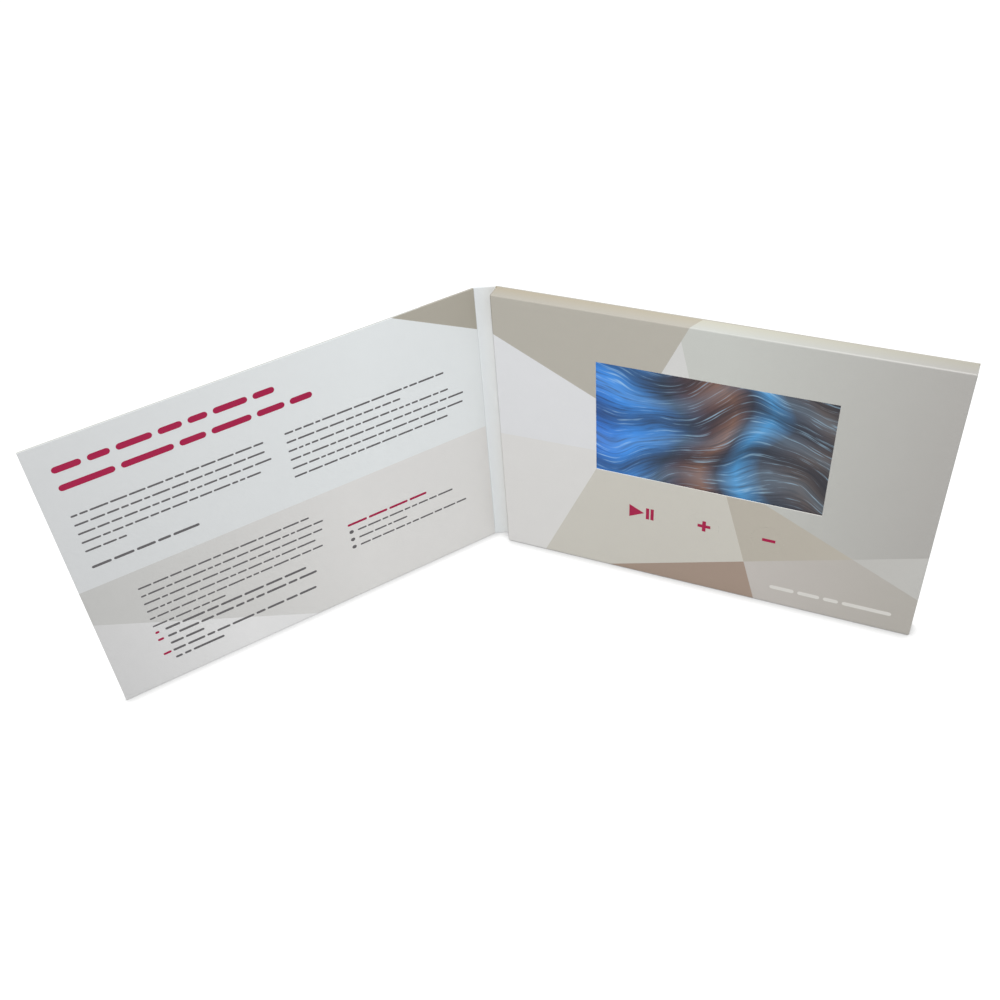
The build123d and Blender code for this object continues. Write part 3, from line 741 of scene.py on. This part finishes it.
def sheet_knife(places):
    """The knife for the window, the socket's slot and the four slits up the walls' corners."""
    bm = bmesh.new()
    window_middle = Vector((places["volume_up"].x, front_y, window_base + window_high / 2))
    block(bm, window_middle, Vector((window_wide, knife_deep, window_high)))
    slot_middle = (socket_low + socket_high) / 2
    slot_middle.x = tray_high.x
    slot = socket_high - socket_low + Vector((0, 2 * socket_room, 2 * socket_room))
    slot.x = knife_deep
    block(bm, slot_middle, slot)
    slit_y = (tray_high.y + tray_low.y) / 2 + fold_round + slit_stop
    for corner_x, corner_z, lean in (
        (tray_low.x, tray_low.z, -slit_lean), (tray_high.x, tray_high.z, -slit_lean),
        (tray_low.x, tray_high.z, slit_lean), (tray_high.x, tray_low.z, slit_lean),
    ):
        turn = Quaternion((0, 1, 0), radians(lean))
        block(bm, Vector((corner_x, slit_y, corner_z)), Vector((slit_long, wall_deep, slit_wide)), turn)
    return bm


def key_knife(places, hole):
    """The knife for the round holes that the three key zones flex in."""
    bm = bmesh.new()
    for place in places.values():
        disc(bm, place, hole, hole, knife_deep)
    return bm


def cut(made, bm, core_finish, *after):
    """Cuts a sheet with a knife's solids, then works in more modifiers. Cut edges show the card's core."""
    mesh = bpy.data.meshes.new("knife")
    bm.to_mesh(mesh)
    bm.free()
    mesh.materials.append(core_finish)
    knife = bpy.data.objects.new("knife", mesh)
    bpy.context.scene.collection.objects.link(knife)
    work = {"object": knife, "operation": "DIFFERENCE", "solver": "EXACT", "material_mode": "TRANSFER"}
    settle(made, ("BOOLEAN", work), *after)
    bpy.data.objects.remove(knife)


def runs_back(edge):
    """Whether an edge runs from the front to the back."""
    near, far = edge.verts
    return abs((near.co - far.co).normalized().y) > 0.5


def on_front_rim(edge):
    """Whether an edge is one that the front shares with a wall."""
    level = all(abs(vert.co.y - front_y) < hair for vert in edge.verts)
    return level and len(edge.link_faces) == 2


def round_off(bm, edges, radius):
    """Rounds a bmesh's edges."""
    bmesh.ops.bevel(bm, geom=edges, offset=radius, segments=fold_steps, profile=0.5, affect="EDGES")


def tray_skin(print_finish, core_finish):
    """The folded tray: one card with soft folds round its front, cut through for the window and the keys."""
    bm = bmesh.new()
    block(bm, (tray_low + tray_high) / 2, tray_high - tray_low)
    back = [face for face in bm.faces if face.normal.y > 0.5]
    bmesh.ops.delete(bm, geom=back, context="FACES_ONLY")
    round_off(bm, [edge for edge in bm.edges if runs_back(edge)], corner_round)
    round_off(bm, [edge for edge in bm.edges if on_front_rim(edge)], fold_round)
    bmesh.ops.recalc_face_normals(bm, faces=bm.faces)
    tray = piece("case_shell", bm, print_finish)
    tray.data.materials.append(core_finish)
    places, hole = key_places()
    sheet = {
        "thickness": card_thick, "offset": -1.0, "use_even_offset": True, "material_offset": 1,
        "material_offset_rim": 1,
    }
    settle(tray, ("SOLIDIFY", sheet))
    soft_cut = {"width": rim_round, "segments": 2, "angle_limit": radians(rim_sharp), "limit_method": "ANGLE"}
    cut(tray, sheet_knife(places), core_finish, ("BEVEL", soft_cut))
    cut(tray, key_knife(places, hole), core_finish)
    tray.data.shade_smooth()
    settle(tray, ("WEIGHTED_NORMAL", {"keep_sharp": False, "weight": flat_weight}))
    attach(tray, "case")
    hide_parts("case_tray")
    return places, hole


def key_pads(material, places, hole):
    """The round zones of the print that flex over the switches, a hair apart from the sheet round them."""
    for key, place in places.items():
        bm = bmesh.new()
        disc(bm, place, hole - key_taper, hole - key_gap, card_thick)
        pad = piece(f"{key}_face", bm, material)
        soften(pad.data, key_sharp)
        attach(pad, f"{key}_button")
        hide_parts(f"{key}_pad")


# ------------------------------------------------------------------ print marks
ink_lift = 0.03 * MM

# The rest of this section is in millimetres on the flat sheets.
symbol_tall = 7.0
symbol_arm = 3.2
symbol_shift = 0.6
triangle_tall = 7.8
triangle_wide = 7.7
bar_wide = 1.65
bar_step = 2.35
bar_first = 8.6
arm_half = 0.9

line_step = 4.85
body_tall = 0.95
bold_tall = 1.35
heading_tall = 3.1
caption_tall = 2.2
bullet_tall, bullet_wide, bullet_drop = 2.1, 2.4, 0.4
dash_steps = 6

# A dash's shortest and longest length, the space after it, and the least that is left for a last dash and for
# a row to go on, in heights of the dash.
word_short, word_long = 2.4, 9.0
word_space = 0.8
last_word, row_end = 4, 2

# Single rows: where each starts and stops, and its foot.
HEADING = [(199.1, 101.7, 133.4), (199.1, 85.5, 124.3)]
SIGN_OFF = [(199.1, 149.6, 81.6)]
LIST_TITLE = [(81.8, 37.4, 45.8)]
CAPTION = [(141.4, 200.0, 9.8)]

# Paragraphs: their margin, where each row stops, and the foot of the first one.
LEFT_TEXT = (199.1, (112.2, 112.6, 110.4, 116.6, 180.6), 110.4)
RIGHT_TEXT = (102, (20.2, 44.0, 18.8, 10.9, 11.6, 20.6), 110.4)
LOWER_TEXT = (184.7, (99.9, 93.4, 94.7, 99.2, 96.2, 148.4), 60.4)
SHORT_LIST = (77, (22.7, 49.8, 15.5), 41.2)
LONG_LIST = (179.8, (107.0, 102.2, 162.8, 104.2, 154.8), 31.6)

# The marks before three rows of the long list, by row: how wide each is. They share the lower text's margin.
LIST_MARKS = {0: 2.0, 1: 3.0, 3: 4.0}
bullet_margin = 81.6

# The seeds that the rows' word lengths are drawn from.
cover_seed, caption_seed = 4, 9


def flat_marks(name, outlines, place, material, body):
    """Printed shapes, as thin films of ink. place turns a point of the sheet, in millimetres, and its lift
    off the sheet into a point of the frame."""
    bm = bmesh.new()
    for outline in outlines:
        foot, top = ([bm.verts.new(place(*point, lift)) for point in outline] for lift in (0.0, ink_lift))
        bm.faces.new(foot)
        bm.faces.new(top)
        for side in range(len(outline)):
            bm.faces.new((foot[side - 1], foot[side], top[side], top[side - 1]))
    bmesh.ops.recalc_face_normals(bm, faces=bm.faces)
    return piece(name, bm, material, body)


def on_front(across, up, lift):
    """A point of the front's sheet, lifted a little out of it, in the frame."""
    return Vector((case_left + across * MM, front_y - lift, up * MM))


def on_cover(along, up, lift):
    """A point of the cover's inner sheet, lifted a little out of it, in the frame."""
    return cover_line + cover_run * along * MM - cover_out * lift + sheet_up * up * MM


def bar(left, right, low, high):
    """The outline of an upright or level bar."""
    return [(left, low), (right, low), (right, high), (left, high)]


def key_symbols(material, places):
    """Play and pause, plus and minus, on the three key zones, printed a hair off their centres."""
    middles = {
        key: ((place.x - case_left) / MM + symbol_shift, place.z / MM) for key, place in places.items()
    }
    x, z = middles["play_pause"]
    start = x - (bar_first + bar_step + bar_wide) / 2
    half = triangle_tall / 2
    play = [[(start, z - half), (start + triangle_wide, z), (start, z + half)]]
    half = symbol_tall / 2
    lefts = (start + bar_first, start + bar_first + bar_step)
    pause = [bar(left, left + bar_wide, z - half, z + half) for left in lefts]
    flat_marks("play_pause_symbol", play + pause, on_front, material, "play_pause_button")
    x, z = middles["volume_up"]
    plus = [
        bar(x - symbol_arm, x + symbol_arm, z - arm_half, z + arm_half),
        bar(x - arm_half, x + arm_half, z + arm_half, z + symbol_arm),
        bar(x - arm_half, x + arm_half, z - symbol_arm, z - arm_half),
    ]
    flat_marks("volume_up_symbol", plus, on_front, material, "volume_up_button")
    x, z = middles["volume_down"]
    minus = [bar(x - symbol_arm, x + symbol_arm, z - arm_half, z + arm_half)]
    flat_marks("volume_down_symbol", minus, on_front, material, "volume_down_button")


def dash(start, stop, base, tall):
    """A flat dash with round ends, in a sheet's millimetres, from start to stop along and tall above base."""
    radius = tall / 2
    left, right = min(start, stop) + radius, max(start, stop) - radius
    arc = [radians(90 + 180 * step / dash_steps) for step in range(dash_steps + 1)]
    return [(left + radius * cos(turn), base + radius + radius * sin(turn)) for turn in arc] + [
        (right - radius * cos(turn), base + radius - radius * sin(turn)) for turn in arc
    ]


def word_dashes(rows, tall, chance):
    """Rows of word-long dashes that stand for text. Each row is where it starts and stops, and its foot."""
    outlines = []
    for start, stop, base in rows:
        way = 1 if stop > start else -1
        along = start
        while (stop - along) * way > row_end * tall:
            length = tall * chance.uniform(word_short, word_long)
            left_over = (stop - along) * way - length
            if left_over < last_word * tall:
                length += left_over
            outlines.append(dash(along, along + way * length, base, tall))
            along += way * (length + tall * word_space)
    return outlines


def paragraph(margin, stops, foot):
    """Rows from the same margin, one line apart, that stop at ragged places."""
    return [(margin, stop, foot - row * line_step) for row, stop in enumerate(stops)]


def cover_text(text_ink, accent_ink):
    """The cover's inner sheet: a heading, two paragraphs, a longer block with a list, and a short list."""
    chance = Random(cover_seed)
    marks = word_dashes(HEADING, heading_tall, chance)
    contacts = paragraph(*SHORT_LIST)
    rows = paragraph(*LEFT_TEXT) + paragraph(*RIGHT_TEXT) + paragraph(*LOWER_TEXT) + contacts
    body = word_dashes(rows, body_tall, chance)
    items = paragraph(*LONG_LIST)
    bold = word_dashes(SIGN_OFF + items, bold_tall, chance)
    flat_marks("cover_text", body + bold, on_cover, text_ink, "cover")
    bullet_end = bullet_margin - bullet_wide
    bullets = [dash(bullet_margin, bullet_end, foot - bullet_drop, bullet_tall) for _, _, foot in contacts]
    flat_marks("cover_bullets", bullets, on_cover, text_ink, "cover")
    marks += word_dashes(LIST_TITLE, bold_tall, chance)
    margin = LOWER_TEXT[0]
    marks += [dash(margin, margin - wide, items[row][2], bold_tall) for row, wide in LIST_MARKS.items()]
    flat_marks("cover_heading", marks, on_cover, accent_ink, "cover")


def front_caption(material):
    """A pale row of dashes at the foot of the front."""
    row = word_dashes(CAPTION, caption_tall, Random(caption_seed))
    flat_marks("front_caption", row, on_front, material, "case")


# ------------------------------------------------------------------ the folds
crease_side = 0.25 * MM
crease_round = 0.6 * MM
crease_dip = 0.12 * MM
crease_steps = 8
crease_sharp = 40
tail_shares = (0.04, 0.5, 1.0)
outer_side = 2


def bend(start, pivot, end, step):
    """A point on the smooth bend from start to end round the pivot."""
    return start * (1 - step) ** 2 + pivot * 2 * step * (1 - step) + end * step ** 2


def fold_skin(name, pivot, arrive, leave, into, out_of, tail, inside, outside):
    """The wrap across one scored fold: a sheet that bends, with a soft valley along its inner face and the
    outer print on its outer face. It starts a length (into) before the pivot, ends a length (out_of) past
    it, and may go on straight for a tail."""
    start = pivot - arrive * into
    end = pivot + leave * out_of
    line = [bend(start, pivot, end, step / crease_steps) for step in range(crease_steps + 1)]
    if tail:
        line += [end + leave * tail * share for share in tail_shares]
    normals = []
    for before, after in zip([line[0] - arrive * MM] + line[:-1], line[1:] + [line[-1] + leave * MM]):
        normals.append((after - before).normalized().cross(sheet_up))
    bm = bmesh.new()
    rings = []
    for index, (point, normal) in enumerate(zip(line, normals)):
        share = min(index / crease_steps, 1.0)
        dip = crease_dip * (4 * share * (1 - share)) ** 2
        inner = point + normal * dip
        outer = point + normal * wrap_thick
        corners = ((inner, 0), (inner, height), (outer, height), (outer, 0))
        rings.append([bm.verts.new(spot + sheet_up * level) for spot, level in corners])
    for near, far in zip(rings, rings[1:]):
        for side in range(4):
            after = (side + 1) % 4
            face = bm.faces.new((near[side], far[side], far[after], near[after]))
            face.material_index = int(side == outer_side)
    bm.faces.new(rings[0])
    bm.faces.new(rings[-1])
    bmesh.ops.recalc_face_normals(bm, faces=bm.faces)
    rest_across = bm.verts.layers.float.new(across_name)
    for vert in bm.verts:
        vert[rest_across] = vert.co.x / MM
    skin = piece(name, bm, inside)
    skin.data.materials.append(outside)
    soften(skin.data, crease_sharp)
    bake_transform(skin)
    return skin


def spine_skins(inside, outside):
    """The spine's sheet from the case's crease on, and the short sheet across the cover's crease."""
    toward_spine = Vector((-1, 0, 0))
    spine_wide = (cover_line - spine_line).length
    tail = spine_wide - 2 * crease_round
    spine = fold_skin(
        "spine_sheet", spine_line, toward_spine, spine_run, crease_side, crease_round, tail, inside, outside,
    )
    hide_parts("spine_liner", "spine_board")
    fold_skin(
        "cover_crease", cover_line, spine_run, cover_run, crease_round, crease_side, 0.0, inside, outside,
    )


# ------------------------------------------------------------------ studio
floor_gap = 0.1 * MM
floor_half = 6.0
floor_glow = 0.87
contact_reach = 6.0 * MM
contact_samples = 4
FLOOR_WHITE = paint(196, 196, 196)
FLOOR_SHADOW = (0.25, 0.25, 0.25, 1)
PLAIN_WHITE = (1, 1, 1, 1)

sky_fill = 0.6
lamp_aim = Vector((-0.04, -0.06, 0.07))
main_lamp = {"place": Vector((0.128, -0.646, 1.218)), "size": 0.3, "power": 12.6}
rear_lamp = {"place": Vector((-0.25, 1.2, 0.35)), "size": 0.6, "power": 2.0}


def studio():
    """A white floor, a hair below the brochure. The camera sees it glow, with a painted contact shade right
    beside a piece that stands on it, and it keeps the brochure's shadow."""
    finish = Finish("studio_floor")
    seen = finish.plainly_seen()
    plain = finish.node("ShaderNodeBsdfDiffuse", None, color=FLOOR_WHITE)
    faint = finish.node("ShaderNodeBsdfDiffuse", None, color=FLOOR_SHADOW)
    glow = finish.node("ShaderNodeEmission", None, color=PLAIN_WHITE, strength=floor_glow)
    dim = finish.node("ShaderNodeEmission", None, color=PLAIN_WHITE, strength=0.0)
    open_sky = finish.node(
        "ShaderNodeAmbientOcclusion", {"samples": contact_samples}, distance=contact_reach
    ).other("AO")
    # Painted contact shade: the glow that the camera sees is dimmed where a piece stands close above the
    # floor.
    glow_with_contact_shade = finish.node("ShaderNodeMixShader", None, open_sky, dim, glow)
    both = finish.node("ShaderNodeAddShader", None, faint, glow_with_contact_shade)
    surface = finish.node("ShaderNodeMixShader", None, seen, plain, both)
    finish.feed(finish.output, {"surface": surface})
    bm = bmesh.new()
    bmesh.ops.create_grid(bm, x_segments=1, y_segments=1, size=floor_half)
    mesh = bpy.data.meshes.new("studio_floor")
    bm.to_mesh(mesh)
    bm.free()
    floor = bpy.data.objects.new("studio_floor", mesh)
    floor.location.z = -floor_gap
    floor.data.materials.append(finish.material)
    bpy.context.scene.collection.objects.link(floor)


def lamp(name, place, size, power):
    """A round soft lamp that looks at the middle of the brochure."""
    light = bpy.data.lights.new(name, "AREA")
    light.shape = "DISK"
    light.size = size
    light.energy = power
    seat = bpy.data.objects.new(name, light)
    seat.location = place
    seat.rotation_mode = "QUATERNION"
    seat.rotation_quaternion = (lamp_aim - place).to_track_quat("-Z", "Y")
    bpy.context.scene.collection.objects.link(seat)


def sky(fill):
    """An even world that lights softly, and shows as plain white."""
    world = bpy.data.worlds.new("studio_sky")
    bpy.context.scene.world = world
    shader = Shader(world, "ShaderNodeOutputWorld")
    even = shader.node("ShaderNodeBackground", None, color=PLAIN_WHITE, strength=fill)
    white = shader.node("ShaderNodeBackground", None, color=PLAIN_WHITE, strength=1.0)
    both = shader.node("ShaderNodeMixShader", None, shader.plainly_seen(), even, white)
    shader.feed(shader.output, {"surface": both})


# ------------------------------------------------------------------ making
bpy.context.scene.view_settings.view_transform = "Standard"
camera()
slot_finish = finishes()
for node in frame["nodes"].values():
    for held in node.material_slots:
        held.material = slot_finish[held.material.name.split(".")[0]]
frame["nodes"]["cover_liner"].material_slots[0].material = printed_cover()
frame["nodes"]["base_liner"].material_slots[0].material = slot_finish["printed_card"]
places, hole = tray_skin(slot_finish["printed_card"], paper_core())
key_pads(slot_finish["printed_card"], places, hole)
magenta = printed_ink("magenta_ink", MAGENTA)
key_symbols(magenta, places)
cover_text(printed_ink("text_ink", TEXT_INK), magenta)
front_caption(printed_ink("white_ink", WHITE_INK))
spine_skins(slot_finish["liner_sheet"], printed_outside("printed_fold", bends=True))
studio()
sky(sky_fill)
lamp("key_lamp", **main_lamp)
lamp("rear_lamp", **rear_lamp)
